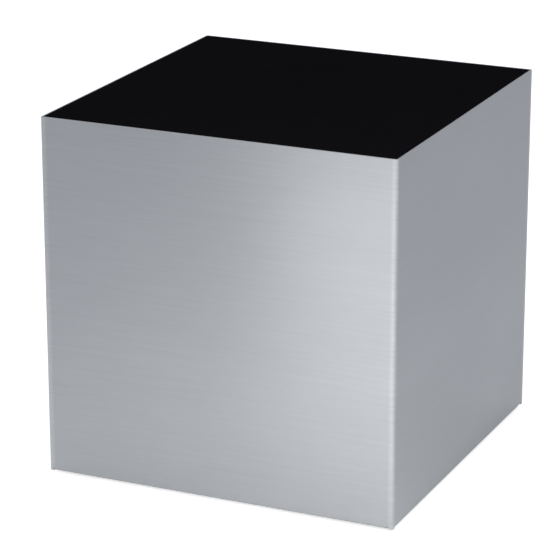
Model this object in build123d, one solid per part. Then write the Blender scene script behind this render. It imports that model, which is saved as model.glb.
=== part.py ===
from build123d import *
import math
import os

# Cube side table: a box of folded stainless steel sheet, open underneath, with a black top
# panel that drops in flush, and four levelling feet that screw up into corner brackets.
#
# Frame: origin on the floor under the middle of the table, +Z up. The front wall faces -Y and
# the right wall faces +X. All sizes are in millimetres.
#
# The four walls and the four corners are alike, so everything is modelled once, on the front
# wall or in the front left corner, and turned about Z in quarter turns.

# Overall size
SIDE = 400.0  # width, depth and height, with the feet wound fully in
SHADOW_GAP = 4.0  # floor to the underside of the steel
HALF = SIDE / 2

# Sheet steel shell
SHEET = 1.5
BEND_R = 3.0  # outside radius of every bend in this sheet
SEAM_R = 1.0  # outside radius of the two welded and dressed corners
RETURN_WIDTH = 15.0  # bottom edge folded inward, outer face to raw edge
RETURN_GAP = 0.3  # between the mitred ends of two returns
CORNER_TAB = 4.6  # unfolded bottom of the wall at each corner
RELIEF = 0.4  # slit between that and the folded return
RELIEF_HEIGHT = 4.0

# Top panel and what it rests on
PANEL_THICKNESS = 12.0
PANEL_GAP = 0.5
PANEL_CORNER_R = 2.0
PANEL_ARRIS = 0.5
BUMPER_R = 5.0
BUMPER_HEIGHT = 1.6
BUMPER_PLACES = (-110.0, 110.0)  # along each ledge

# Angles, all 20 x 20 of the same sheet
ANGLE_LEG = 20.0
LEDGE_GAP = 1.0  # between the mitred ends of two ledges
SEAM_ANGLE_BOTTOM = 60.0
SEAM_ANGLE_LENGTH = 300.0

# Weld studs and flange nuts, M4; threads are plain cylinders
STUD_R = 1.95
STUD_LENGTH = 10.0
STUD_FOOT_R = 2.75
STUD_FOOT_HEIGHT = 0.8
STUD_HOLE_R = 3.0
NUT_BORE_R = 2.0
NUT_ACROSS_FLATS = 7.0
NUT_HEIGHT = 4.65
NUT_FLANGE_R = 5.0
NUT_FLANGE_HEIGHT = 1.0
LEDGE_STUD_PLACES = (-150.0, 0.0, 150.0)
LEDGE_STUD_DROP = 10.4  # ledge top to stud
SEAM_STUD_INSET = 14.0  # corner to stud, along the wall
SEAM_STUD_HEIGHTS = (90.0, 200.0, 310.0)
SEAM_STUD_STAGGER = 20.0  # the studs of one leg are this much higher than the other's
BRACKET_STUD_PLACES = (24.0, 50.0)  # corner to stud, along the wall
BRACKET_STUD_HEIGHT = 35.0

# Corner brackets, bent from thicker plate
PLATE = 2.5
PLATE_BEND_R = 4.0
BRACKET_BOTTOM = 20.0
BRACKET_REACH = 62.0  # corner to the web's free edges and the tabs' ends
BRACKET_START = 10.0  # corner to the start of each tab
BRACKET_CHAMFER = 20.0  # off the web's free corner
BRACKET_TAB_TOP = 45.0

# Weld nuts, M8, on the webs
WELD_NUT_BORE_R = 4.0
WELD_NUT_ACROSS_FLATS = 14.0
WELD_NUT_HEIGHT = 6.5
WELD_NUT_PILOT_R = 5.25
WELD_NUT_PILOT_DEPTH = 1.2
WEB_HOLE_R = 5.3

# Levelling feet
FOOT_INSET = 35.0  # corner to the foot's axis, along both walls
SOLE_R = 13.5
SOLE_HEIGHT = 2.5
SOLE_STANDS_OUT = 1.0
BASE_R = 16.0
BASE_TOP_R = 11.0
BASE_RIM_TOP = 5.0
BASE_TOP = 13.0
SOCKET_R = 5.05
SOCKET_BOTTOM = 6.4
SOCKET_TOP = 9.6
NECK_BORE_R = 3.25
DISC_R = 5.0
DISC_BOTTOM = 6.5
DISC_TOP = 9.5
NECK_R = 3.2
COLLAR_BOTTOM = 14.0
COLLAR_TOP = 19.9
COLLAR_ACROSS_FLATS = 13.0
FOOT_THREAD_R = 3.95
FOOT_STUD_TOP = 58.0
KEY_ACROSS_FLATS = 4.0
KEY_DEPTH = 6.0

PANEL_BOTTOM = SIDE - PANEL_THICKNESS
LEDGE_TOP = PANEL_BOTTOM - BUMPER_HEIGHT
WALLS = ("front", "right", "rear", "left")
CORNERS = ("front_left", "front_right", "rear_right", "rear_left")
LEFT_SEAM, RIGHT_SEAM = 0, 2  # quarter turns from the front left corner to each welded corner

os.makedirs("parts", exist_ok=True)


def save(name, shape):
    export_step(shape, f"parts/{name}.step")


def turned(shape, quarter_turns):
    return Rot(0, 0, 90 * quarter_turns) * shape


def upright(shape):
    """Stands a solid made along +Z off the front wall, pointing into the table."""
    return Rot(-90, 0, 0) * shape


def bent_section(across, along, thickness, bend_r):
    """L section with its outer corner at the origin and its legs along +X and +Y."""
    section = Rectangle(across, along, align=Align.MIN)
    section -= Pos(thickness, thickness) * Rectangle(across, along, align=Align.MIN)
    outer = section.vertices().sort_by_distance((0, 0, 0))[0]
    section = fillet(outer, bend_r)
    inner = section.vertices().sort_by_distance((thickness, thickness, 0))[0]
    return fillet(inner, bend_r - thickness)


def mitred_run(section, half_length, gap):
    """Extrudes a section of the front wall, seen along +X, and mitres both its ends."""
    run = extrude(Plane.YZ * section, half_length, both=True)
    apex = -gap / math.sqrt(2)
    wedge = Polygon((0, apex), (-SIDE, apex - SIDE), (SIDE, apex - SIDE), align=None)
    return run & extrude(wedge, SIDE)


def rounded_square(half_size, fold_r, seam_r):
    """Plan of the box: folded corners front right and rear left, welded ones at the others."""
    plan = Rectangle(2 * half_size, 2 * half_size)
    folds = [v for v in plan.vertices() if v.X * v.Y < 0]
    plan = fillet(folds, fold_r)
    if seam_r:
        seams = [v for v in plan.vertices() if abs(abs(v.X) - abs(v.Y)) < 0.01]
        plan = fillet(seams, seam_r)
    return plan


def wall_band(bottom, top):
    """All four walls between two heights."""
    outside = rounded_square(HALF, BEND_R, SEAM_R)
    inside = rounded_square(HALF - SHEET, BEND_R - SHEET, 0)
    return Pos(0, 0, bottom) * extrude(outside - inside, top - bottom)


def shell():
    """The front and right walls, folded from one sheet, with their bottom returns."""
    relief_top = SHADOW_GAP + RELIEF_HEIGHT
    walls = wall_band(relief_top, SIDE)
    tabs = wall_band(SHADOW_GAP, relief_top)
    for across, deep in ((2 * (HALF - CORNER_TAB), SIDE), (SIDE, 2 * (HALF - CORNER_TAB))):
        tabs -= Pos(0, 0, SHADOW_GAP) * Box(across, deep, 3 * RELIEF_HEIGHT)
    front_right_half = Plane(origin=(0, 0, 0), z_dir=(1, -1, 0))
    result = split(walls + tabs, bisect_by=front_right_half, keep=Keep.TOP)
    section = Pos(-HALF, SHADOW_GAP) * bent_section(RETURN_WIDTH, RELIEF_HEIGHT, SHEET, BEND_R)
    run = mitred_run(section, HALF - CORNER_TAB - RELIEF, RETURN_GAP)
    return result + run + turned(run, 1)


def ledge():
    """Angle inside the front wall: a level leg for the panel and a leg against the wall."""
    section = mirror(bent_section(ANGLE_LEG, ANGLE_LEG, SHEET, BEND_R), about=Plane.XZ)
    section = Pos(-HALF + SHEET, LEDGE_TOP) * section
    run = mitred_run(section, HALF - CORNER_TAB - RELIEF, LEDGE_GAP)
    for x in LEDGE_STUD_PLACES:
        run -= on_front_wall(x, LEDGE_TOP - LEDGE_STUD_DROP, 0, Cylinder(STUD_HOLE_R, ANGLE_LEG))
    return run


def seam_angle():
    """Upright angle behind the front left seam."""
    section = bent_section(ANGLE_LEG, ANGLE_LEG, SHEET, BEND_R)
    upright_angle = extrude(Pos(-HALF + SHEET, -HALF + SHEET) * section, SEAM_ANGLE_LENGTH)
    upright_angle = Pos(0, 0, SEAM_ANGLE_BOTTOM) * upright_angle
    for place in seam_stud_places():
        upright_angle -= placed_on_leg(place, 0, Cylinder(STUD_HOLE_R, 2 * BEND_R))
    return upright_angle


def on_front_wall(x, z, stand_off, shape):
    """Puts a solid made along +Z on the inner face of the front wall."""
    return Pos(x, -HALF + SHEET + stand_off, z) * upright(shape)


def seam_stud_places():
    """Leg and height of each stud of one seam angle: leg 0 is on the front wall, 1 on the left."""
    front = [(0, z) for z in SEAM_STUD_HEIGHTS]
    left = [(1, z + SEAM_STUD_STAGGER) for z in SEAM_STUD_HEIGHTS]
    return front + left


def placed_on_leg(place, stand_off, shape):
    """Puts a solid on one leg at the front left corner, leg 0 or leg 1, its mirror image."""
    leg, z = place
    return on_leg(leg, SEAM_STUD_INSET, z, stand_off, shape)


def on_leg(leg, inset, z, stand_off, shape):
    """Puts a solid on a wall of the front left corner, at this distance from the corner."""
    if leg == 0:
        return on_front_wall(-HALF + inset, z, stand_off, shape)
    return turned(on_front_wall(HALF - inset, z, stand_off, shape), -1)


def hexagon(across_flats, height, bore_r=0.0):
    """Hexagonal prism on z = 0, its corners rounded off by cones at both ends."""
    corner_r = across_flats / math.sqrt(3)
    flat_r = across_flats / 2
    drop = (corner_r - flat_r) * math.tan(math.radians(30))
    prism = extrude(RegularPolygon(corner_r, 6), height)
    edge = Polygon(
        (0, 0),
        (flat_r, 0),
        (corner_r, drop),
        (corner_r, height - drop),
        (flat_r, height),
        (0, height),
        align=None,
    )
    prism &= revolve(Plane.XZ * edge, Axis.Z)
    if bore_r:
        prism -= Cylinder(bore_r, 3 * height)
    return prism


def weld_stud():
    """Stud on z = 0 with the small flange that is left by the weld."""
    shank = Cylinder(STUD_R, STUD_LENGTH, align=(Align.CENTER, Align.CENTER, Align.MIN))
    shank = chamfer(shank.edges().sort_by(Axis.Z)[-1], STUD_R / 4)
    flange = Cylinder(STUD_FOOT_R, STUD_FOOT_HEIGHT, align=(Align.CENTER, Align.CENTER, Align.MIN))
    return shank + flange


def flange_nut():
    """Flange nut on z = 0, flange down."""
    nut = hexagon(NUT_ACROSS_FLATS, NUT_HEIGHT)
    nut += Cylinder(NUT_FLANGE_R, NUT_FLANGE_HEIGHT, align=(Align.CENTER, Align.CENTER, Align.MIN))
    return nut - Cylinder(NUT_BORE_R, 3 * NUT_HEIGHT)


def corner_bracket():
    """Level web with a tab turned up along each wall, in the front left corner."""
    web_start = SHEET + PLATE_BEND_R
    free = BRACKET_REACH - BRACKET_CHAMFER
    web = Polygon(
        (web_start, BRACKET_START),
        (BRACKET_START, BRACKET_START),
        (BRACKET_START, web_start),
        (BRACKET_REACH, web_start),
        (BRACKET_REACH, free),
        (free, BRACKET_REACH),
        (web_start, BRACKET_REACH),
        align=None,
    )
    web -= Pos(FOOT_INSET, FOOT_INSET) * Circle(WEB_HOLE_R)
    bracket = Pos(-HALF, -HALF, BRACKET_BOTTOM) * extrude(web, PLATE)
    tab_length = BRACKET_REACH - BRACKET_START
    section = bent_section(PLATE_BEND_R, BRACKET_TAB_TOP - BRACKET_BOTTOM, PLATE, PLATE_BEND_R)
    tab = extrude(Plane.YZ * Pos(-HALF + SHEET, BRACKET_BOTTOM) * section, tab_length)
    front_tab = Pos(-HALF + BRACKET_START, 0, 0) * tab
    left_tab = turned(Pos(HALF - BRACKET_REACH, 0, 0) * tab, -1)
    bracket += front_tab
    bracket += left_tab
    for leg, inset in bracket_stud_places():
        hole = Cylinder(STUD_HOLE_R, 3 * PLATE)
        bracket -= on_leg(leg, inset, BRACKET_STUD_HEIGHT, 0, hole)
    return bracket


def bracket_stud_places():
    return [(leg, inset) for leg in (0, 1) for inset in BRACKET_STUD_PLACES]


def at_foot(shape):
    return Pos(-HALF + FOOT_INSET, -HALF + FOOT_INSET, 0) * shape


def weld_nut():
    """Hexagonal weld nut on the web, with a round pilot in the web's hole."""
    nut = Pos(0, 0, BRACKET_BOTTOM + PLATE) * hexagon(WELD_NUT_ACROSS_FLATS, WELD_NUT_HEIGHT)
    pilot = Cylinder(WELD_NUT_PILOT_R, WELD_NUT_PILOT_DEPTH, align=(Align.CENTER, Align.CENTER, Align.MAX))
    nut += Pos(0, 0, BRACKET_BOTTOM + PLATE) * pilot
    return at_foot(nut - Cylinder(WELD_NUT_BORE_R, SIDE))


def foot_base():
    """Nylon foot, turned: a rim, a cone above it, and a socket that the stud's disc snaps into."""
    recess_top = SOLE_HEIGHT
    outline = Polygon(
        (0, recess_top),
        (SOLE_R + 0.1, recess_top),
        (SOLE_R + 0.1, SOLE_STANDS_OUT),
        (BASE_R, SOLE_STANDS_OUT),
        (BASE_R, BASE_RIM_TOP),
        (BASE_TOP_R, BASE_TOP),
        (NECK_BORE_R, BASE_TOP),
        (NECK_BORE_R, SOCKET_TOP),
        (SOCKET_R, SOCKET_TOP),
        (SOCKET_R, SOCKET_BOTTOM),
        (0, SOCKET_BOTTOM),
        align=None,
    )
    outer_corners = [v for v in outline.vertices() if v.X > BASE_TOP_R - 0.01 and v.Y > recess_top]
    outline = fillet(outer_corners, 1.0)
    return at_foot(revolve(Plane.XZ * outline, Axis.Z))


def foot_sole():
    sole = Cylinder(SOLE_R, SOLE_HEIGHT, align=(Align.CENTER, Align.CENTER, Align.MIN))
    sole = chamfer(sole.edges().sort_by(Axis.Z)[0], 0.4)
    return at_foot(sole)


def foot_stud():
    """Levelling stud: captive disc, neck, hexagonal collar, thread, and a key socket on top."""
    stem = Polygon(
        (0, DISC_BOTTOM),
        (DISC_R, DISC_BOTTOM),
        (DISC_R, DISC_TOP),
        (NECK_R, DISC_TOP),
        (NECK_R, COLLAR_TOP),
        (FOOT_THREAD_R, COLLAR_TOP),
        (FOOT_THREAD_R, FOOT_STUD_TOP - 0.8),
        (FOOT_THREAD_R - 0.8, FOOT_STUD_TOP),
        (0, FOOT_STUD_TOP),
        align=None,
    )
    stud = revolve(Plane.XZ * stem, Axis.Z)
    stud += Pos(0, 0, COLLAR_BOTTOM) * hexagon(COLLAR_ACROSS_FLATS, COLLAR_TOP - COLLAR_BOTTOM)
    key = extrude(RegularPolygon(KEY_ACROSS_FLATS / 2, 6, major_radius=False), 2 * KEY_DEPTH)
    stud -= Pos(0, 0, FOOT_STUD_TOP - KEY_DEPTH) * key
    return at_foot(stud)


def top_panel():
    """Black panel with rounded corners and a fine arris round its upper and lower edges."""
    size = SIDE - 2 * (SHEET + PANEL_GAP)
    plan = RectangleRounded(size, size, PANEL_CORNER_R)
    panel = extrude(plan, PANEL_THICKNESS)
    faces = panel.faces().sort_by(Axis.Z)
    panel = chamfer(faces[0].edges() + faces[-1].edges(), PANEL_ARRIS)
    return Pos(0, 0, PANEL_BOTTOM) * panel


def bumper(x):
    """Soft pad stuck on the front ledge, with a rounded upper edge."""
    pad = Cylinder(BUMPER_R, BUMPER_HEIGHT, align=(Align.CENTER, Align.CENTER, Align.MIN))
    pad = fillet(pad.edges().sort_by(Axis.Z)[-1], BUMPER_HEIGHT / 3)
    return Pos(x, -HALF + SHEET + ANGLE_LEG / 2 + SHEET, LEDGE_TOP) * pad


# Shell, and the angles that join and stiffen it
front_shell = shell()
save("front_shell", front_shell)
save("rear_shell", turned(front_shell, 2))
for quarter_turns, side in ((LEFT_SEAM, "left"), (RIGHT_SEAM, "right")):
    save(f"seam_angle_{side}", turned(seam_angle(), quarter_turns))

# Ledges and bumpers that carry the top, and the top
for quarter_turns, wall in enumerate(WALLS):
    save(f"ledge_{wall}", turned(ledge(), quarter_turns))
    for number, x in enumerate(BUMPER_PLACES, start=1):
        save(f"bumper_{wall}_{number}", turned(bumper(x), quarter_turns))
save("top_panel", top_panel())

# Corner brackets, weld nuts and feet
for quarter_turns, corner in enumerate(CORNERS):
    save(f"corner_bracket_{corner}", turned(corner_bracket(), quarter_turns))
    save(f"weld_nut_{corner}", turned(weld_nut(), quarter_turns))
    save(f"foot_base_{corner}", turned(foot_base(), quarter_turns))
    save(f"foot_sole_{corner}", turned(foot_sole(), quarter_turns))
    save(f"foot_stud_{corner}", turned(foot_stud(), quarter_turns))

# Fasteners, one node for each kind of joint: where each stud stands, and what it goes through
ledge_height = LEDGE_TOP - LEDGE_STUD_DROP
ledge_joint = [
    (turn, lambda off, shape, x=x: on_front_wall(x, ledge_height, off, shape))
    for turn in range(4)
    for x in LEDGE_STUD_PLACES
]
seam_joint = [
    (turn, lambda off, shape, place=place: placed_on_leg(place, off, shape))
    for turn in (LEFT_SEAM, RIGHT_SEAM)
    for place in seam_stud_places()
]
bracket_joint = [
    (turn, lambda off, shape, leg=leg, inset=inset: on_leg(leg, inset, BRACKET_STUD_HEIGHT, off, shape))
    for turn in range(4)
    for leg, inset in bracket_stud_places()
]
for name, joint, clamped in (
    ("ledge", ledge_joint, SHEET),
    ("seam", seam_joint, SHEET),
    ("bracket", bracket_joint, PLATE),
):
    studs = [turned(place(0, weld_stud()), turn) for turn, place in joint]
    nuts = [turned(place(clamped, flange_nut()), turn) for turn, place in joint]
    save(f"{name}_studs", Compound(children=studs))
    save(f"{name}_nuts", Compound(children=nuts))
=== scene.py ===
import math

import bmesh
import bpy
from mathutils import Matrix, Vector
from mathutils.geometry import tessellate_polygon


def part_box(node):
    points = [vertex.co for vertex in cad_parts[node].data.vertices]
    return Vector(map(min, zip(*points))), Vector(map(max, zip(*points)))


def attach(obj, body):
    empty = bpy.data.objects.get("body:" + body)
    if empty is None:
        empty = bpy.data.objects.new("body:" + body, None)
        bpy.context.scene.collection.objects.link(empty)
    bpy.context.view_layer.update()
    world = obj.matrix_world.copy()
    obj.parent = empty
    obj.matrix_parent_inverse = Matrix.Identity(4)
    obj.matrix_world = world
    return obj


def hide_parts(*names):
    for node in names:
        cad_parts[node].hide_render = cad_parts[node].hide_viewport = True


# Cube side table: brushed stainless steel shell, open below, black drop-in top, levelling feet.
# Metres, in the frame of the CAD model: origin on the floor under the middle, front wall on -Y.

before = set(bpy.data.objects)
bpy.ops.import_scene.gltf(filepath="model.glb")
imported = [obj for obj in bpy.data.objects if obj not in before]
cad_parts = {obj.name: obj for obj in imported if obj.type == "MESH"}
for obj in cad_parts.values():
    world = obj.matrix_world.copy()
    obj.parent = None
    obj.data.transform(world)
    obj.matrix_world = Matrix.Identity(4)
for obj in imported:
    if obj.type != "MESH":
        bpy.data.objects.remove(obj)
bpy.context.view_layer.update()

MM = 0.001
MICRON = 1e-6
TAN_30 = math.tan(math.radians(30))
CORNERS = ("front_left", "front_right", "rear_right", "rear_left")
WALLS = ("front", "right", "rear", "left")

# Sheet steel. Each wall's bottom edge is turned in as a return, with a relief slit at both ends.
SHEET = 1.5 * MM
FOLD_R = 3.0 * MM
SEAM_R = 1.0 * MM
SEAM_INNER_STEP = 0.3 * MM
TAB_END = 4.6 * MM  # from the corner: the end of the tab that stays unfolded
RUN_START = 5.0 * MM  # from the corner: the start of the return, past the slit
RETURN_WIDTH = 15.0 * MM
RETURN_MITRE = 0.3 * MM
RELIEF_HEIGHT = 4.0 * MM
RAW_EDGE_R = 0.15 * MM
WALL_LINES = (0.3, 0.2, 0.1, 0.03)  # heights at which the long walls are divided

# Angles and brackets
ANGLE_LEG = 20.0 * MM
LEDGE_MITRE = 1.0 * MM
PLATE = 2.5 * MM
PLATE_BEND_R = 4.0 * MM
BRACKET_REACH = 62.0 * MM
BRACKET_START = 10.0 * MM
BRACKET_CHAMFER = 20.0 * MM
HOLE_R = 3.0 * MM
WEB_HOLE_R = 5.3 * MM
PLATE_EDGE_R = 0.3 * MM
BEND_STEPS = 6  # facets across a bend
EDGE_STEPS = 4  # facets across a dressed seam or an arris

# Where the weld studs stand
LEDGE_STUD_PLACES = (-150.0 * MM, 0.0, 150.0 * MM)
LEDGE_STUD_DROP = 10.4 * MM
SEAM_STUD_INSET = 14.0 * MM
SEAM_STUD_HEIGHTS = (90.0 * MM, 200.0 * MM, 310.0 * MM)
SEAM_STUD_STAGGER = 20.0 * MM
BRACKET_STUD_PLACES = (24.0 * MM, 50.0 * MM)
BRACKET_STUD_HEIGHT = 35.0 * MM

# Threads, in millimetres as (major radius, minor radius, pitch)
FOOT_THREAD = (3.95, 3.25, 1.25)
NUT_THREAD = (4.05, 3.40, 1.25)
STUD_THREAD = (1.95, 1.56, 0.7)
GROOVE_SPARE = 0.06  # a nut's grooves are this much wider than the stud's ridges
THREAD_FADE = 0.6  # pitches over which a ridge fades out at its ends

# Hexagons, in millimetres across the flats
WELD_NUT_FLATS = 14.0
COLLAR_FLATS = 13.0
KEY_FLATS = 4.0
FLANGE_NUT_FLATS = 7.0
BLUNT_CORNER = 0.565  # radius of a hexagon's blunt corners, as a share of its flats
CONE_START = 0.48  # radius where a turned hexagon's 30 degree cone starts, as a share of its flats

FOOT_INSET = 35.0 * MM
SCALLOPS = 12
NUT_TURN_STEP = math.radians(37)  # nuts come to rest at different angles
PANEL_CORNER_R = 2.0 * MM
PANEL_ARRIS = 0.5 * MM
HIGHLIGHT_REACH = 7.0 * MM  # how far the painted highlight at a vertical corner reaches into the walls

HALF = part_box("rear_shell")[1].y
STEEL_BOTTOM, STEEL_TOP = (corner.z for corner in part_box("front_shell"))
LEDGE_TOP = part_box("ledge_front")[1].z
WEB_BOTTOM, TAB_TOP = (corner.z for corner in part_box("corner_bracket_front_left"))
SEAM_ANGLE_ENDS = tuple(corner.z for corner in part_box("seam_angle_left"))

# Studio
FLOOR_LIFT = 0.65  # glow that only the camera sees, to make the floor nearly white
FLOOR_REACH = 9.0
FLOOR_DROP = 0.2 * MM
UNDER_REACH = HALF - 14.0 * MM  # half the width of the square of floor under the table
WORLD_COLOUR = (0.93, 0.965, 1.03, 1)
WORLD_LIGHT = 0.468  # strength as light on the table
WORLD_SEEN = 1.1  # strength as the background that the camera sees
COOL, WARM, WHITE = (0.965, 1.0, 1.04), (1.0, 0.99, 0.975), (1, 1, 1)

# Lamps, as place, target, (width, height), watts and colour. The pool lights the floor that the
# front wall mirrors. The two edge lamps bring out the fold. The last two are for the views from
# below and with the top lifted.
LAMPS = {
    "overhead": ((-0.3, 0.3, 3.2), (-0.3, 0.3, 0), (4.5, 4.5), 33, COOL),
    "low_fill": ((0.0, -1.0, 0.14), (0.1, -0.2, 0.1), (0.5, 0.25), 0.545, WARM),
    "pool": ((0.22, -0.62, 0.5), (0.13, -0.34, 0.0), (0.4, 0.3), 2.2, WARM),
    "edge": ((0.95, -1.5, 0.6), (0.2, -0.2, 0.2), (0.9, 0.9), 2.4, WARM),
    "edge_right": ((1.6, -0.5, 0.6), (0.2, -0.2, 0.2), (1.0, 1.2), 2.8, WARM),
    "left_panel": ((-1.3, -0.8, 0.5), (-0.2, -0.1, 0.2), (0.6, 0.8), 1.5, WHITE),
    "under": ((0.0, 0.0, -0.5), (0.0, 0.0, 0.2), (0.6, 0.6), 2.0, WHITE),
    "inside": ((0.0, 0.0, 0.37), (0.0, 0.0, 0.0), (0.3, 0.3), 0.5, WHITE),
}
NOT_MIRRORED = ("pool",)

# Camera: a long lens. Its angles are in degrees, and its place in widths of the table, from the
# table's axis and the height of the steel's lower edge.
CAMERA_AZIMUTH, CAMERA_ELEVATION = 24.17, 18.46
CAMERA_PLACE = (2.901, -6.558, 2.852)
LENS, SENSOR_WIDTH = 176.9, 36
CAMERA_REACH = 100


# ---------------------------------------------------------------- node trees

def new_material(name):
    mat = bpy.data.materials.new(name)
    mat.use_nodes = True
    tree = mat.node_tree
    tree.nodes.clear()
    out = tree.nodes.new("ShaderNodeOutputMaterial")
    shader = tree.nodes.new("ShaderNodeBsdfPrincipled")
    tree.links.new(shader.outputs[0], out.inputs["Surface"])
    return mat, tree, shader


def put(tree, socket, value):
    """Sets a socket to a number or a colour, or links it to another socket."""
    if isinstance(value, bpy.types.NodeSocket):
        tree.links.new(value, socket)
    else:
        socket.default_value = value


def maths(tree, operation, a, b=0.0, c=0.0):
    node = tree.nodes.new("ShaderNodeMath")
    node.operation = operation
    for socket, value in zip(node.inputs, (a, b, c)):
        put(tree, socket, value)
    return node.outputs[0]


def mapped(tree, scale):
    """The row frame's coordinates times a scale for each axis."""
    place = tree.nodes.new("ShaderNodeTexCoord").outputs["Object"]
    node = tree.nodes.new("ShaderNodeMapping")
    node.inputs["Scale"].default_value = scale
    tree.links.new(place, node.inputs["Vector"])
    return node.outputs[0]


def noise(tree, scale, detail=2.0, roughness=0.5, distortion=0.0):
    node = tree.nodes.new("ShaderNodeTexNoise")
    tree.links.new(mapped(tree, scale), node.inputs["Vector"])
    node.inputs["Scale"].default_value = 1.0
    node.inputs["Detail"].default_value = detail
    node.inputs["Roughness"].default_value = roughness
    node.inputs["Distortion"].default_value = distortion
    return node.outputs["Fac"]


def remap(tree, value, low, high, to_low, to_high):
    node = tree.nodes.new("ShaderNodeMapRange")
    node.inputs["From Min"].default_value = low
    node.inputs["From Max"].default_value = high
    put(tree, node.inputs["To Min"], to_low)
    put(tree, node.inputs["To Max"], to_high)
    tree.links.new(value, node.inputs["Value"])
    return node.outputs[0]


def spread(tree, value, low, high):
    """Stretches a noise texture's usual values, 0.3 to 0.7, over the range from low to high."""
    return remap(tree, value, 0.3, 0.7, low, high)


def blend_colour(tree, factor, first, second):
    node = tree.nodes.new("ShaderNodeMix")
    node.data_type = "RGBA"
    put(tree, node.inputs[0], factor)
    put(tree, node.inputs[6], first)
    put(tree, node.inputs[7], second)
    return node.outputs[2]


def two_tone(tree, shader, factor, first, second):
    put(tree, shader.inputs["Base Color"], blend_colour(tree, factor, first, second))


def bump(tree, height, distance, strength, below=None):
    node = tree.nodes.new("ShaderNodeBump")
    node.inputs["Distance"].default_value = distance
    node.inputs["Strength"].default_value = strength
    tree.links.new(height, node.inputs["Height"])
    if below is not None:
        tree.links.new(below, node.inputs["Normal"])
    return node.outputs[0]


# ---------------------------------------------------------------- materials

def corner_highlight(tree):
    """1 at the table's vertical corners, where the steel gets a painted highlight, and 0 on the
    walls.
    """
    split = tree.nodes.new("ShaderNodeSeparateXYZ")
    tree.links.new(mapped(tree, (1, 1, 1)), split.inputs[0])
    across, along = (maths(tree, "ABSOLUTE", split.outputs[k]) for k in (0, 1))
    corner = 2 * HALF
    out = maths(tree, "ADD", across, along)
    return remap(tree, out, corner - HIGHLIGHT_REACH, corner - HIGHLIGHT_REACH / 2, 0.0, 1.0)


def brushed_steel():
    """Satin stainless with level brushing: long fine scratches, which spread light up and down."""
    mat, tree, shader = new_material("brushed_stainless")
    fine = noise(tree, (22, 22, 2600), detail=3, roughness=0.65)
    middle = noise(tree, (9, 9, 420), detail=3, roughness=0.6)
    broad = noise(tree, (3.0, 3.0, 9.0), detail=2)
    patches = noise(tree, (5.5, 5.5, 5.5), detail=3, roughness=0.55, distortion=0.4)
    grain = maths(tree, "MULTIPLY_ADD", fine, 0.55, maths(tree, "MULTIPLY", middle, 0.45))
    light = blend_colour(
        tree, spread(tree, grain, 0.0, 1.0), (0.50, 0.51, 0.525, 1), (0.57, 0.58, 0.595, 1)
    )
    shade = remap(tree, patches, 0.35, 0.7, 0.0, 0.06)
    colour = blend_colour(tree, shade, light, (0.42, 0.425, 0.44, 1))
    # Painted highlight: the vertical corners are lightened towards a pale steel colour, in streaks
    # that follow the brushing.
    painted_highlight = maths(tree, "MULTIPLY", corner_highlight(tree), spread(tree, middle, 0.25, 0.6))
    two_tone(tree, shader, painted_highlight, colour, (0.74, 0.745, 0.75, 1))
    rough = remap(tree, grain, 0.25, 0.75, 0.30, 0.40)
    rough = maths(tree, "ADD", rough, spread(tree, broad, -0.02, 0.03))
    put(tree, shader.inputs["Roughness"], rough)
    shader.inputs["Metallic"].default_value = 1.0
    shader.inputs["Anisotropic"].default_value = 0.8
    shader.inputs["Anisotropic Rotation"].default_value = 0.25
    tangent = tree.nodes.new("ShaderNodeTangent")
    tangent.direction_type = "RADIAL"
    tangent.axis = "Z"
    tree.links.new(tangent.outputs[0], shader.inputs["Tangent"])
    waves = noise(tree, (6, 6, 4), detail=1)
    sheet_wave = bump(tree, waves, 0.4 * MM, 0.25)
    put(tree, shader.inputs["Normal"], bump(tree, grain, 0.02 * MM, 0.35, below=sheet_wave))
    return mat


def mill_steel():
    """The inside of the sheet and the angles: dull rolled finish with faint level roll lines."""
    mat, tree, shader = new_material("mill_stainless")
    lines = noise(tree, (6, 6, 700), detail=3, roughness=0.6)
    grit = noise(tree, (900, 900, 900), detail=2)
    tone = spread(tree, lines, 0.0, 1.0)
    two_tone(tree, shader, tone, (0.43, 0.435, 0.445, 1), (0.48, 0.485, 0.49, 1))
    put(tree, shader.inputs["Roughness"], spread(tree, grit, 0.42, 0.52))
    shader.inputs["Metallic"].default_value = 1.0
    rolled = bump(tree, lines, 0.01 * MM, 0.3)
    put(tree, shader.inputs["Normal"], bump(tree, grit, 0.01 * MM, 0.4, below=rolled))
    return mat


def black_laminate():
    """Deep matte black compact laminate with a fine skin texture."""
    mat, tree, shader = new_material("black_laminate")
    skin = noise(tree, (1500, 1500, 1500), detail=3, roughness=0.6)
    smudge = noise(tree, (14, 14, 14), detail=4, roughness=0.6, distortion=0.6)
    tone = spread(tree, skin, 0.0, 1.0)
    two_tone(tree, shader, tone, (0.0038, 0.0031, 0.0039, 1), (0.0053, 0.0045, 0.0053, 1))
    put(tree, shader.inputs["Roughness"], spread(tree, smudge, 0.72, 0.82))
    shader.inputs["Specular IOR Level"].default_value = 0.003
    put(tree, shader.inputs["Normal"], bump(tree, skin, 0.03 * MM, 0.5))
    return mat


def plated(name, low, high, rough, scale):
    """Thin metal plating: an even satin skin with a fine grain and a slow drift in its tint."""
    mat, tree, shader = new_material(name)
    grain = noise(tree, (scale,) * 3, detail=3)
    drift = noise(tree, (scale / 20,) * 3, detail=1)
    tone = maths(tree, "MULTIPLY_ADD", grain, 0.6, maths(tree, "MULTIPLY", drift, 0.4))
    two_tone(tree, shader, remap(tree, tone, 0.35, 0.65, 0.0, 1.0), low, high)
    put(tree, shader.inputs["Roughness"], spread(tree, grain, rough - 0.03, rough + 0.05))
    shader.inputs["Metallic"].default_value = 1.0
    put(tree, shader.inputs["Normal"], bump(tree, grain, 0.01 * MM, 0.3))
    return mat


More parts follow.
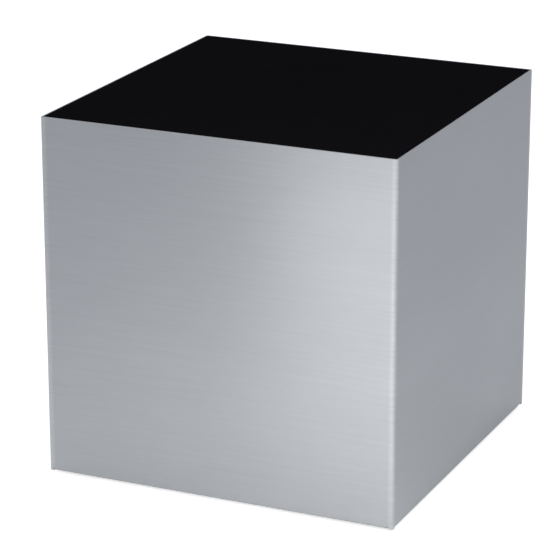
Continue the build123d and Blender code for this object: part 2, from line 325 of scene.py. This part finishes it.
def moulded(name, low, high, rough):
    """Moulded plastic or rubber with a fine skin texture."""
    mat, tree, shader = new_material(name)
    skin = noise(tree, (900, 900, 900), detail=3)
    two_tone(tree, shader, spread(tree, skin, 0.0, 1.0), low, high)
    put(tree, shader.inputs["Roughness"], spread(tree, skin, rough - 0.05, rough + 0.05))
    put(tree, shader.inputs["Normal"], bump(tree, skin, 0.02 * MM, 0.4))
    return mat


def clear_pad():
    """Soft clear polyurethane: half see-through, with a glossy skin and a faint milky cast."""
    mat, tree, shader = new_material("clear_pad")
    skin = noise(tree, (700, 700, 700), detail=2)
    two_tone(tree, shader, skin, (0.66, 0.68, 0.68, 1), (0.80, 0.81, 0.80, 1))
    put(tree, shader.inputs["Roughness"], spread(tree, skin, 0.08, 0.2))
    shader.inputs["Alpha"].default_value = 0.5
    shader.inputs["IOR"].default_value = 1.49
    return mat


STEEL = brushed_steel()
MILL = mill_steel()
LAMINATE = black_laminate()
ZINC = plated("zinc_plate", (0.56, 0.58, 0.62, 1), (0.64, 0.655, 0.68, 1), 0.32, 1400)
COPPER = plated("copper_flash", (0.58, 0.29, 0.18, 1), (0.70, 0.38, 0.25, 1), 0.34, 2400)
NYLON = moulded("black_nylon", (0.014, 0.014, 0.016, 1), (0.022, 0.022, 0.024, 1), 0.5)
RUBBER = moulded("sole_rubber", (0.022, 0.022, 0.022, 1), (0.034, 0.034, 0.033, 1), 0.85)
CLEAR = clear_pad()


# ---------------------------------------------------------------- mesh helpers

def make_piece(name, verts, faces, materials, indices=None, sharp_deg=40):
    """An object from points and faces, with its normals turned outward and crisp edges marked."""
    mesh = bpy.data.meshes.new(name)
    mesh.from_pydata(verts, [], faces)
    for mat in materials:
        mesh.materials.append(mat)
    if indices is not None:
        mesh.polygons.foreach_set("material_index", indices)
    mesh.polygons.foreach_set("use_smooth", [True] * len(mesh.polygons))
    work = bmesh.new()
    work.from_mesh(mesh)
    bmesh.ops.recalc_face_normals(work, faces=work.faces)
    work.to_mesh(mesh)
    work.free()
    mesh.set_sharp_from_angle(angle=math.radians(sharp_deg))
    piece = bpy.data.objects.new(name, mesh)
    bpy.context.scene.collection.objects.link(piece)
    return piece


def shade_flats_flat(piece):
    """Large flat faces keep their flat shading beside small round ones."""
    shade = piece.modifiers.new("shade", "WEIGHTED_NORMAL")
    shade.mode = "FACE_AREA"
    shade.weight = 100
    shade.keep_sharp = True


def soften_edges(piece, width):
    """Rounds the edges that carry a bevel weight."""
    edge = piece.modifiers.new("edge", "BEVEL")
    edge.limit_method = "WEIGHT"
    edge.width = width
    edge.segments = 2
    edge.loop_slide = False
    shade_flats_flat(piece)


def sheet_piece(name, outer, inner, faces, materials, edge_r, unrounded=()):
    """A bent sheet as a closed skin: its outer face, its inner face, and raw edges between them.

    unrounded holds the points of a seam, whose edges stay crisp because they meet the next sheet.
    """
    count = len(outer)
    border = set()
    for face in faces:
        for a, b in zip(face, face[1:] + face[:1]):
            border ^= {(min(a, b), max(a, b))}
    rim = [[a, b, b + count, a + count] for a, b in sorted(border)]
    skin = faces + [[k + count for k in reversed(face)] for face in faces] + rim
    sides = [0] * len(faces) + [1] * len(faces) + [0] * len(rim)
    piece = make_piece(name, outer + inner, skin, materials, sides)
    weight = piece.data.attributes.new("bevel_weight_edge", "FLOAT", "EDGE")
    for edge in piece.data.edges:
        a, b = sorted(k % count for k in edge.vertices)
        if (a, b) in border and not (a in unrounded and b in unrounded):
            weight.data[edge.index].value = 1.0
    soften_edges(piece, edge_r)
    return piece


def arc(centre, radius, start_deg, end_deg, steps):
    """Flat points along an arc, both ends included."""
    turn = [math.radians(start_deg + (end_deg - start_deg) * k / steps) for k in range(steps + 1)]
    return [(centre[0] + radius * math.cos(a), centre[1] + radius * math.sin(a)) for a in turn]


def quarter(turns):
    """Takes what is made at the front wall or front left corner on to the next ones round."""
    return Matrix.Rotation(math.radians(90 * turns), 4, "Z")


def finish_piece(piece, body, slot, *nodes):
    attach(piece, body)
    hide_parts(*nodes)


# ---------------------------------------------------------------- shell

def shell_columns():
    """Stations along the plan of the front and right walls, seam to seam, outer and inner points.

    Each is (kind, outer xy, inner xy). The kind is "tab" where the wall's bottom stays unfolded,
    and the wall's number, 0 front or 1 right, where it is folded into the return.
    """
    columns = []
    seam = arc((-HALF + SEAM_R, -HALF + SEAM_R), SEAM_R, 225, 270, EDGE_STEPS)
    for k, point in enumerate(seam):
        columns.append(("tab", point, (-HALF + SHEET + k * SEAM_INNER_STEP, -HALF + SHEET)))
    straight = (
        ("tab", -HALF + TAB_END),
        (0, -HALF + RUN_START),
        (0, 0.0),
        (0, HALF - RUN_START),
        ("tab", HALF - TAB_END),
    )
    for kind, x in straight:
        columns.append((kind, (x, -HALF), (x, -HALF + SHEET)))
    centre = (HALF - FOLD_R, -HALF + FOLD_R)
    outer = arc(centre, FOLD_R, 270, 315, BEND_STEPS)
    inner = arc(centre, FOLD_R - SHEET, 270, 315, BEND_STEPS)
    columns += [("tab", a, b) for a, b in zip(outer, inner)]
    mirrored = [
        (1 if kind == 0 else kind, (-a[1], -a[0]), (-b[1], -b[0]))
        for kind, a, b in reversed(columns[:-1])
    ]
    return columns + mirrored


def return_rows():
    """Section of the folded bottom: (outer depth, outer height, inner depth, inner height)."""
    bend_top = STEEL_BOTTOM + FOLD_R
    rows = []
    for k in range(BEND_STEPS + 1):
        a = math.radians(90 * k / BEND_STEPS)
        c, s = math.cos(a), math.sin(a)
        rows.append(
            (
                FOLD_R * (1 - c),
                bend_top - FOLD_R * s,
                FOLD_R - (FOLD_R - SHEET) * c,
                bend_top - (FOLD_R - SHEET) * s,
            )
        )
    for depth in (RUN_START - RETURN_MITRE / math.sqrt(2), RETURN_WIDTH):
        rows.append((depth, STEEL_BOTTOM, depth, STEEL_BOTTOM + SHEET))
    return rows


def along_wall(wall, along, depth, height):
    """A point in space from its place on the front wall, 0, or the right wall, 1."""
    if wall == 0:
        return (along, -HALF + depth, height)
    return (HALF - depth, along, height)


def mitred(along, depth, gap):
    """Where a station lies at this depth from the wall's face: the ends keep to the mitre."""
    limit = min(HALF - RUN_START, HALF - depth - gap / math.sqrt(2))
    return max(-limit, min(limit, along))


def shell_skin(name, turns):
    """Two walls and their returns: a grid of stations along the plan and rows down the wall."""
    columns, profile = shell_columns(), return_rows()
    heights = [STEEL_TOP, *WALL_LINES, STEEL_BOTTOM + RELIEF_HEIGHT]
    wall_rows = len(heights)
    points = {}
    for i, (kind, outer, inner) in enumerate(columns):
        for j, z in enumerate(heights):
            points[i, j] = ((*outer, z), (*inner, z))
        if kind == "tab":
            points[i, wall_rows] = ((*outer, STEEL_BOTTOM), (*inner, STEEL_BOTTOM))
            continue
        along = outer[kind]
        for k, (d_out, z_out, d_in, z_in) in enumerate(profile):
            points[i, wall_rows + k] = (
                along_wall(kind, mitred(along, d_out, RETURN_MITRE), d_out, z_out),
                along_wall(kind, mitred(along, d_in, RETURN_MITRE), d_in, z_in),
            )
    number = {key: n for n, key in enumerate(points)}
    faces = []
    for i in range(len(columns) - 1):
        for j in range(wall_rows + len(profile) - 1):
            corners = [(i, j), (i, j + 1), (i + 1, j + 1), (i + 1, j)]
            slit = j >= wall_rows - 1 and columns[i][0] != columns[i + 1][0]
            if not slit and all(c in number for c in corners):
                faces.append([number[c] for c in corners])
    turn = quarter(turns)
    outer = [turn @ Vector(points[key][0]) for key in number]
    inner = [turn @ Vector(points[key][1]) for key in number]
    seams = {n for key, n in number.items() if key[0] in (0, len(columns) - 1)}
    return sheet_piece(name, outer, inner, faces, [STEEL, MILL], RAW_EDGE_R, seams)


for turns, side in ((0, "front"), (2, "rear")):
    skin = shell_skin(f"shell_{side}", turns)
    finish_piece(skin, "cabinet", "stainless_shell", f"{side}_shell")


# ---------------------------------------------------------------- angles and brackets

def bent_plate(name, patches, thickness, mat, edge_r, turns):
    """A bent plate, patch by patch.

    Each patch is (loops, where). The loops are flat (u, v) points, first the outline and then the
    holes, and where(u, v, depth) puts a point in space, with depth 0 on the plate's outer face.
    """
    known, outer, inner, faces = {}, [], [], []
    turn = quarter(turns)
    for loops, where in patches:
        flat = [point for loop in loops for point in loop]
        numbers = []
        for u, v in flat:
            spot = Vector(where(u, v, 0.0))
            key = tuple(round(c / MICRON) for c in spot)
            if key not in known:
                known[key] = len(outer)
                outer.append(turn @ spot)
                inner.append(turn @ Vector(where(u, v, thickness)))
            numbers.append(known[key])
        for triangle in tessellate_polygon([[Vector((*p, 0)) for p in loop] for loop in loops]):
            faces.append([numbers[k] for k in triangle])
    return sheet_piece(name, outer, inner, faces, [mat, mat], edge_r)


def rectangle(u_low, u_high, v_low, v_high):
    return [(u_low, v_low), (u_high, v_low), (u_high, v_high), (u_low, v_high)]


def hole(u, v, radius=HOLE_R, steps=32):
    return arc((u, v), radius, 0, 360, steps)[:-1]


def bend(u_low, u_high, where):
    """Strips across a bend; their v runs from 0 to 90 degrees."""
    rows = [90 * k / BEND_STEPS for k in range(BEND_STEPS + 1)]
    return [([rectangle(u_low, u_high, a, b)], where) for a, b in zip(rows, rows[1:])]


def angle_bend(radius, degrees, depth):
    """Distances from the two outer faces of a bend, for a point at this depth in the sheet."""
    a = math.radians(degrees)
    r = radius - depth
    return radius - r * math.cos(a), radius - r * math.sin(a)


def ledge_skin(wall, turns):
    """Angle inside a wall: one leg down the wall, one level under the top. u runs along the wall."""
    face = -HALF + SHEET

    def placed(u, y, z):
        return (mitred(u, HALF + y, LEDGE_MITRE), y, z)

    def wall_leg(u, v, depth):
        return placed(u, face + depth, v)

    def corner(u, v, depth):
        inward, down = angle_bend(FOLD_R, v, depth)
        return placed(u, face + inward, LEDGE_TOP - down)

    def level_leg(u, v, depth):
        return placed(u, v, LEDGE_TOP - depth)

    end = HALF - RUN_START
    stud_height = LEDGE_TOP - LEDGE_STUD_DROP
    leg = [rectangle(-end, end, LEDGE_TOP - ANGLE_LEG, LEDGE_TOP - FOLD_R)]
    leg += [hole(x, stud_height) for x in LEDGE_STUD_PLACES]
    patches = [(leg, wall_leg)]
    patches += bend(-end, end, corner)
    patches.append(([rectangle(-end, end, face + FOLD_R, face + ANGLE_LEG)], level_leg))
    return bent_plate(f"ledge_angle_{wall}", patches, SHEET, MILL, RAW_EDGE_R, turns)


def seam_angle_skin(side, turns):
    """Upright angle behind a welded seam, modelled at the front left. u runs up."""
    face = -HALF + SHEET
    low, high = SEAM_ANGLE_ENDS

    def front_leg(u, v, depth):
        return (v, face + depth, u)

    def corner(u, v, depth):
        from_left, from_front = angle_bend(FOLD_R, v, depth)
        return (face + from_left, face + from_front, u)

    def left_leg(u, v, depth):
        return (face + depth, v, u)

    patches = bend(low, high, corner)
    for leg, stagger in ((front_leg, 0.0), (left_leg, SEAM_STUD_STAGGER)):
        loops = [rectangle(low, high, face + FOLD_R, face + ANGLE_LEG)]
        loops += [hole(z + stagger, -HALF + SEAM_STUD_INSET) for z in SEAM_STUD_HEIGHTS]
        patches.append((loops, leg))
    return bent_plate(f"seam_brace_{side}", patches, SHEET, MILL, RAW_EDGE_R, turns)


def bracket_skin(corner_name, turns):
    """Level web with a tab up each wall, modelled at the front left. u and v are from the corner."""
    face = SHEET
    start = face + PLATE_BEND_R
    free = BRACKET_REACH - BRACKET_CHAMFER

    def web(u, v, depth):
        return (u - HALF, v - HALF, WEB_BOTTOM + depth)

    def front_bend(u, v, depth):
        inward, up = angle_bend(PLATE_BEND_R, v, depth)
        return (u - HALF, face + inward - HALF, WEB_BOTTOM + up)

    def left_bend(u, v, depth):
        x, y, z = front_bend(u, v, depth)
        return (y, x, z)

    def front_tab(u, v, depth):
        return (u - HALF, face + depth - HALF, v)

    def left_tab(u, v, depth):
        x, y, z = front_tab(u, v, depth)
        return (y, x, z)

    outline = [
        (start, BRACKET_START),
        (BRACKET_START, BRACKET_START),
        (BRACKET_START, start),
        (BRACKET_REACH, start),
        (BRACKET_REACH, free),
        (free, BRACKET_REACH),
        (start, BRACKET_REACH),
    ]
    patches = [([outline, hole(FOOT_INSET, FOOT_INSET, WEB_HOLE_R, 48)], web)]
    tab = [rectangle(BRACKET_START, BRACKET_REACH, WEB_BOTTOM + PLATE_BEND_R, TAB_TOP)]
    tab += [hole(place, BRACKET_STUD_HEIGHT) for place in BRACKET_STUD_PLACES]
    for curve, flat in ((front_bend, front_tab), (left_bend, left_tab)):
        patches += bend(BRACKET_START, BRACKET_REACH, curve)
        patches.append((tab, flat))
    return bent_plate(f"foot_bracket_{corner_name}", patches, PLATE, ZINC, PLATE_EDGE_R, turns)


for turns, wall in enumerate(WALLS):
    finish_piece(ledge_skin(wall, turns), "cabinet", "stainless_inner", f"ledge_{wall}")
for turns, side in ((0, "left"), (2, "right")):
    finish_piece(seam_angle_skin(side, turns), "cabinet", "stainless_inner", f"seam_angle_{side}")
for turns, corner in enumerate(CORNERS):
    finish_piece(bracket_skin(corner, turns), "cabinet", "zinc_plated", f"corner_bracket_{corner}")


# ---------------------------------------------------------------- top board

def top_board():
    """Compact laminate board: rounded corners, and a small round arris above and below."""
    low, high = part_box("top_panel")
    middle = high.x - PANEL_CORNER_R
    section = arc((PANEL_ARRIS, low.z + PANEL_ARRIS), PANEL_ARRIS, 270, 180, EDGE_STEPS)
    section += arc((PANEL_ARRIS, high.z - PANEL_ARRIS), PANEL_ARRIS, 180, 90, EDGE_STEPS)
    rings = []
    for inset, z in section:
        ring = []
        for k, (x, y) in enumerate(((1, 1), (-1, 1), (-1, -1), (1, -1))):
            centre = (x * middle, y * middle)
            ring += arc(centre, PANEL_CORNER_R - inset, 90 * k, 90 * k + 90, BEND_STEPS)
        rings.append([(x, y, z) for x, y in ring])
    count = len(rings[0])
    verts = [point for ring in rings for point in ring]
    faces = [list(range(count)), list(range(len(verts) - count, len(verts)))]
    for j in range(len(rings) - 1):
        for k in range(count):
            a, b = j * count + k, j * count + (k + 1) % count
            faces.append([a, b, b + count, a + count])
    board = make_piece("top_board", verts, faces, [LAMINATE])
    shade_flats_flat(board)
    return board


finish_piece(top_board(), "top", "black_laminate", "top_panel")


# ---------------------------------------------------------------- turned pieces

def spun(outline, steps):
    """Points and faces of a closed skin round the Z axis, in metres.

    outline(angle) lists (radius, height) points up the skin in millimetres, as many at every angle.
    What falls together, at the axis, at the first and last angle or along a thread, is merged.
    """
    work = bmesh.new()
    columns = []
    for k in range(steps + 1):
        angle = 2 * math.pi * k / steps
        across, up = math.cos(angle) * MM, math.sin(angle) * MM
        columns.append([work.verts.new((r * across, r * up, z * MM)) for r, z in outline(angle)])
    for a, b in zip(columns, columns[1:]):
        for j in range(len(a) - 1):
            work.faces.new((a[j], b[j], b[j + 1], a[j + 1]))
    bmesh.ops.remove_doubles(work, verts=work.verts, dist=0.2 * MICRON)
    bmesh.ops.dissolve_degenerate(work, edges=work.edges, dist=0.2 * MICRON)
    work.verts.index_update()
    points = [v.co.copy() for v in work.verts]
    faces = [[v.index for v in face.verts] for face in work.faces]
    work.free()
    return points, faces


def placed_copies(name, shape, places, mat):
    """One piece that holds a copy of a shape at each place."""
    points, faces = shape
    verts, polygons = [], []
    for place in places:
        start = len(verts)
        verts += [place @ point for point in points]
        polygons += [[k + start for k in face] for face in faces]
    return make_piece(name, verts, polygons, [mat], sharp_deg=32)


def thread(angle, bottom, top, sizes, opens=False):
    """Points up a right-hand thread at this angle, from bottom to top.

    All threads of one pitch are in step, so that a stud's ridges run in its nut's grooves. The
    ridge fades out at both ends, to the minor radius on a stud and to the major one in a nut,
    which opens.
    """
    major, minor, pitch = sizes
    flank = (major - minor) * TAN_30
    land = pitch / 8 + (GROOVE_SPARE if opens else 0.0)
    foot = land / 2 + flank
    turn = ((-land / 2, major), (land / 2, major), (foot, minor), (pitch - foot, minor))
    fade = THREAD_FADE * pitch
    end = major if opens else minor
    points = []
    for k in range(math.floor(bottom / pitch) - 2, math.ceil(top / pitch) + 2):
        for offset, radius in turn:
            z = (k + angle / (2 * math.pi)) * pitch + offset
            z = max(bottom, min(top, z))
            full = min(1.0, (z - bottom) / fade, (top - z) / fade)
            points.append((end + (radius - end) * full, z))
    return points


def hexagon(across_flats, angle, turns=0):
    """Radius of a hexagon at this angle, its corners a little blunt."""
    sixth = math.radians(60)
    off = (angle - turns * math.radians(90)) % sixth - sixth / 2
    return min(across_flats / 2 / math.cos(off), BLUNT_CORNER * across_flats)


def cone_drop(across_flats, radius):
    """How far the 30 degree cone of a turned hexagon has come down at this radius."""
    return max(0.0, radius - CONE_START * across_flats) * TAN_30


def at_foot(turns):
    """Stands a shape made round the Z axis on a foot's axis."""
    return quarter(turns) @ Matrix.Translation((-HALF + FOOT_INSET, -HALF + FOOT_INSET, 0))


def on_wall(turns, along, height, stand_off):
    """Stands a shape made along +Z on the inner face of a wall, pointing into the table."""
    place = Matrix.Translation((along, -HALF + SHEET + stand_off, height))
    return quarter(turns) @ place @ Matrix.Rotation(math.radians(-90), 4, "X")


def weld_nut_shape(turns):
    """M8 weld nut with its round pilot in the web's hole. Heights are the table's."""
    flats = WELD_NUT_FLATS
    low = WEB_BOTTOM / MM + PLATE / MM
    pilot, top = low - 1.2, low + 6.5

    def outline(angle):
        r = hexagon(flats, angle, turns)
        points = [(4.3, pilot), (5.1, pilot), (5.25, pilot + 0.15), (5.25, low)]
        points += [(r - 0.15, low), (r, low + 0.15)]
        points += [(r, top - cone_drop(flats, r)), (CONE_START * flats, top), (4.5, top)]
        bore = thread(angle, pilot + 0.25, top - 0.4, NUT_THREAD, opens=True)
        return points + list(reversed(bore)) + [points[0]]

    return spun(outline, 36)


def foot_stud_shape(turns):
    """M8 levelling stud: captive disc, neck, hexagonal collar, thread, 4 mm key socket."""

    def outline(angle):
        r = hexagon(COLLAR_FLATS, angle, turns)
        cone_r, drop = CONE_START * COLLAR_FLATS, cone_drop(COLLAR_FLATS, r)
        key = hexagon(KEY_FLATS, angle, turns)
        disc = [(0, 6.5), (4.7, 6.5), (5.0, 6.8), (5.0, 9.2), (4.7, 9.5), (3.3, 9.5), (3.2, 9.6)]
        collar = [(3.2, 13.6), (3.6, 14.0), (cone_r, 14.0), (r, 14.0 + drop)]
        collar += [(r, 19.9 - drop), (cone_r, 19.9), (3.6, 19.9), (3.25, 20.1)]
        socket = [(2.95, 58.0), (key + 0.25, 58.0), (key, 57.75), (key, 52.0), (1.6, 51.6), (0, 50.8)]
        return disc + collar + thread(angle, 20.2, 57.7, FOOT_THREAD) + socket

    return spun(outline, 36)


def foot_base_shape():
    """Moulded foot: shallow finger scallops round the rim, a fluted cone, the stud's socket."""

    def outline(angle):
        scallop = (0.5 - 0.5 * math.cos(SCALLOPS * angle)) ** 2
        rim = 16.0 - 0.45 * scallop
        flute = 0.35 * scallop
        recess = [(0, 2.5), (13.6, 2.5), (13.6, 1.15), (13.75, 1.0)]
        edge = [(rim - 0.8, 1.0), (rim - 0.25, 1.2), (rim, 1.7)]
        edge += [(rim, 4.0), (rim - 0.15, 4.6), (rim - 0.65, 5.2)]
        cone = [(14.1 - flute, 7.2), (12.6 - flute, 9.6), (11.6 - flute, 11.4)]
        cone += [(11.15, 12.3), (10.8, 12.8), (10.2, 13.0)]
        socket = [(3.5, 13.0), (3.25, 12.75), (3.25, 9.6), (5.05, 9.6), (5.05, 6.4), (0, 6.4)]
        return recess + edge + cone + socket

    return spun(outline, 96)


def foot_sole_shape():
    """Rubber sole with rings in relief under it."""

    def outline(angle):
        points = [(0, 0.35), (1.2, 0.35), (1.5, 0)]
        for ring in (3.0, 5.5, 8.0, 10.5):
            points += [(ring, 0), (ring + 0.3, 0.35), (ring + 0.9, 0.35), (ring + 1.2, 0)]
        return points + [(13.1, 0), (13.4, 0.15), (13.5, 0.4), (13.5, 2.5), (0, 2.5)]

    return spun(outline, 64)


def weld_stud_shape():
    """M4 weld stud on z = 0, with the flash of its weld as an uneven collar."""

    def outline(angle):
        flash = 2.62 + 0.07 * math.sin(3 * angle + 1) + 0.05 * math.sin(7 * angle)
        points = [(0, 0), (flash, 0), (flash, 0.3), (flash - 0.3, 0.62), (2.1, 0.8), (1.56, 0.95)]
        points += thread(angle, 1.1, 9.7, STUD_THREAD)
        return points + [(1.3, 10.0), (0, 10.0)]

    return spun(outline, 20)


def flange_nut_shape():
    """M4 flange nut on z = 0, flange down."""

    def outline(angle):
        flats = FLANGE_NUT_FLATS
        r = hexagon(flats, angle)
        points = [(2.3, 0), (4.8, 0), (5.0, 0.15), (5.0, 0.5), (r + 0.12, 1.45), (r, 1.65)]
        points += [(r, 4.65 - cone_drop(flats, r)), (CONE_START * flats, 4.65)]
        points += [(2.35, 4.65), (2.0, 4.35), (2.0, 0.3)]
        return points + [points[0]]

    return spun(outline, 24)


def bumper_shape():
    """Low round pad on z = 0 with a rounded shoulder."""
    shoulder = arc((4.2, 0.8), 0.8, 0, 90, 5)
    points = [(0, 0), (4.9, 0), (5.0, 0.1), *shoulder, (2.4, 1.6), (0, 1.6)]
    return spun(lambda angle: points, 40)


for turns, corner in enumerate(CORNERS):
    place = at_foot(turns)
    upright = Matrix.Translation(place.translation)
    nut = placed_copies(f"foot_nut_{corner}", weld_nut_shape(turns), [upright], ZINC)
    finish_piece(nut, "cabinet", "zinc_plated", f"weld_nut_{corner}")
    stud = placed_copies(f"levelling_stud_{corner}", foot_stud_shape(turns), [upright], ZINC)
    finish_piece(stud, f"stud_{corner}", "zinc_plated", f"foot_stud_{corner}")
    base = placed_copies(f"foot_cup_{corner}", foot_base_shape(), [place], NYLON)
    finish_piece(base, f"foot_{corner}", "black_nylon", f"foot_base_{corner}")
    sole = placed_copies(f"foot_pad_{corner}", foot_sole_shape(), [place], RUBBER)
    finish_piece(sole, f"foot_{corner}", "sole_rubber", f"foot_sole_{corner}")

for turns, wall in enumerate(WALLS):
    for number in (1, 2):
        node = f"bumper_{wall}_{number}"
        low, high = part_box(node)
        place = Matrix.Translation(((low.x + high.x) / 2, (low.y + high.y) / 2, low.z))
        pad = placed_copies(f"pad_{wall}_{number}", bumper_shape(), [place], CLEAR)
        finish_piece(pad, "cabinet", "clear_pad", node)


def stud_rows():
    """For each row of weld studs: where they stand and how thick a sheet they clamp.

    A place is (quarter turns, along the wall, height).
    """
    ledge = [(k, x, LEDGE_TOP - LEDGE_STUD_DROP) for k in range(4) for x in LEDGE_STUD_PLACES]
    seam = []
    for k in (0, 2):
        for z in SEAM_STUD_HEIGHTS:
            seam.append((k, -HALF + SEAM_STUD_INSET, z))
            seam.append((k - 1, HALF - SEAM_STUD_INSET, z + SEAM_STUD_STAGGER))
    bracket = []
    for k in range(4):
        for inset in BRACKET_STUD_PLACES:
            bracket.append((k, -HALF + inset, BRACKET_STUD_HEIGHT))
            bracket.append((k - 1, HALF - inset, BRACKET_STUD_HEIGHT))
    return {"ledge": (ledge, SHEET), "seam": (seam, SHEET), "bracket": (bracket, PLATE)}


for row, (places, clamped) in stud_rows().items():
    stands = [on_wall(*place, 0.0) for place in places]
    studs = placed_copies(f"{row}_weld_studs", weld_stud_shape(), stands, COPPER)
    finish_piece(studs, "cabinet", "weld_stud", f"{row}_studs")
    seats = [
        on_wall(*place, clamped) @ Matrix.Rotation(k * NUT_TURN_STEP, 4, "Z")
        for k, place in enumerate(places)
    ]
    nuts = placed_copies(f"{row}_flange_nuts", flange_nut_shape(), seats, ZINC)
    finish_piece(nuts, "cabinet", "zinc_plated", f"{row}_nuts")


# ---------------------------------------------------------------- studio

def area_light(name, place, target, size, power, colour):
    light = bpy.data.lights.new(name, "AREA")
    light.shape = "RECTANGLE"
    light.size, light.size_y = size
    light.energy = power
    light.color = colour
    lamp = bpy.data.objects.new(name, light)
    lamp.location = place
    lamp.rotation_mode = "QUATERNION"
    lamp.rotation_quaternion = (Vector(target) - Vector(place)).to_track_quat("-Z", "Y")
    lamp.visible_camera = False
    lamp.visible_glossy = name not in NOT_MIRRORED
    bpy.context.scene.collection.objects.link(lamp)


def floor_paint(name, lift=0.0, lets_lamps_through=False):
    """Pale matt floor, brightened by lift where the camera sees it, and clear from below."""
    mat, tree, shader = new_material(name)
    mottle = noise(tree, (2, 2, 2), detail=2)
    two_tone(tree, shader, mottle, (0.86, 0.86, 0.86, 1), (0.88, 0.88, 0.88, 1))
    shader.inputs["Roughness"].default_value = 0.9
    shader.inputs["Specular IOR Level"].default_value = 0.0
    rays = tree.nodes.new("ShaderNodeLightPath").outputs
    shader.inputs["Emission Color"].default_value = (1, 1, 1, 1)
    glow = maths(tree, "MULTIPLY", rays["Is Camera Ray"], lift)
    put(tree, shader.inputs["Emission Strength"], glow)
    clear = tree.nodes.new("ShaderNodeBsdfTransparent")
    side = tree.nodes.new("ShaderNodeMixShader")
    see_through = tree.nodes.new("ShaderNodeNewGeometry").outputs["Backfacing"]
    if lets_lamps_through:
        see_through = maths(tree, "MAXIMUM", see_through, rays["Is Shadow Ray"])
    put(tree, side.inputs[0], see_through)
    tree.links.new(shader.outputs[0], side.inputs[1])
    tree.links.new(clear.outputs[0], side.inputs[2])
    tree.links.new(side.outputs[0], tree.nodes["Material Output"].inputs["Surface"])
    return mat


def studio_floor():
    """A wide floor. The square under the table lets the lamp below it light the underside."""
    corners = ((-1, -1), (1, -1), (1, 1), (-1, 1))
    verts = []
    for reach in (FLOOR_REACH, UNDER_REACH):
        verts += [(x * reach, y * reach, -FLOOR_DROP) for x, y in corners]
    faces = [(k, (k + 1) % 4, (k + 1) % 4 + 4, k + 4) for k in range(4)] + [(4, 5, 6, 7)]
    open_floor = floor_paint("studio_floor", lift=FLOOR_LIFT)
    hidden_floor = floor_paint("floor_under_table", lets_lamps_through=True)
    floor = make_piece("floor", verts, faces, [open_floor, hidden_floor], [0, 0, 0, 0, 1])
    if floor.data.polygons[0].normal.z < 0:
        floor.data.flip_normals()
    return floor


def studio():
    scene = bpy.context.scene
    scene.view_settings.view_transform = "Standard"
    world = bpy.data.worlds.new("studio")
    scene.world = world
    world.use_nodes = True
    tree = world.node_tree
    tree.nodes.clear()
    out = tree.nodes.new("ShaderNodeOutputWorld")
    back = tree.nodes.new("ShaderNodeBackground")
    back.inputs["Color"].default_value = WORLD_COLOUR
    path = tree.nodes.new("ShaderNodeLightPath")
    strength = remap(tree, path.outputs["Is Camera Ray"], 0, 1, WORLD_LIGHT, WORLD_SEEN)
    tree.links.new(strength, back.inputs["Strength"])
    tree.links.new(back.outputs[0], out.inputs["Surface"])

    studio_floor()

    for name, lamp in LAMPS.items():
        area_light(name, *lamp)


def camera():
    """Looks at the table from the front, a little round to the right and from above."""
    azimuth, elevation = math.radians(CAMERA_AZIMUTH), math.radians(CAMERA_ELEVATION)
    level = math.cos(elevation)
    back = Vector((math.sin(azimuth) * level, -math.cos(azimuth) * level, math.sin(elevation)))
    data = bpy.data.cameras.new("camera")
    data.sensor_width = SENSOR_WIDTH
    data.lens = LENS
    data.clip_end = CAMERA_REACH
    cam = bpy.data.objects.new("camera", data)
    x, y, z = (2 * HALF * widths for widths in CAMERA_PLACE)
    cam.location = (x, y, z + STEEL_BOTTOM)
    cam.rotation_mode = "QUATERNION"
    cam.rotation_quaternion = (-back).to_track_quat("-Z", "Y")
    bpy.context.scene.collection.objects.link(cam)
    bpy.context.scene.camera = cam


studio()
camera()
